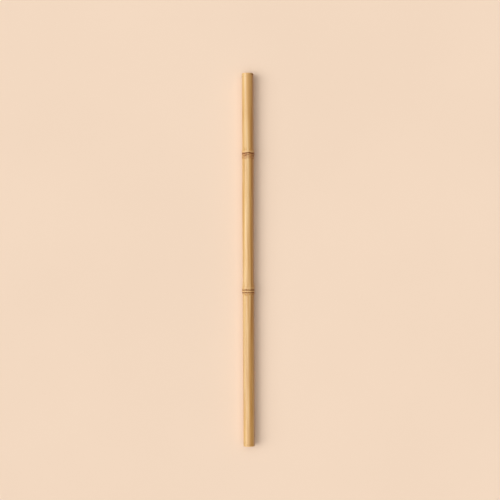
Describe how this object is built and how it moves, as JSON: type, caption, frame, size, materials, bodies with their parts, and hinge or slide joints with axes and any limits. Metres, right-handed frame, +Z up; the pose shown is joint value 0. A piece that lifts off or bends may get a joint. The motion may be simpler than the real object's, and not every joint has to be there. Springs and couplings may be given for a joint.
{
  "type": "bamboo cane",
  "caption": "Straight cut bamboo cane with two swollen nodes and hollow cut ends, lying on a flat surface.",
  "frame": {"origin": "on the surface that the cane lies on, under the middle of its bounding box", "axes": "+X along the cane to its foot end, -X to its tip end, +Z up off the surface"},
  "size_m": [0.6, 0.021, 0.0204],
  "materials": {
    "bamboo": "satin"
  },
  "bodies": {
    "root": {"cane": "bamboo"}
  },
  "joints": []
}
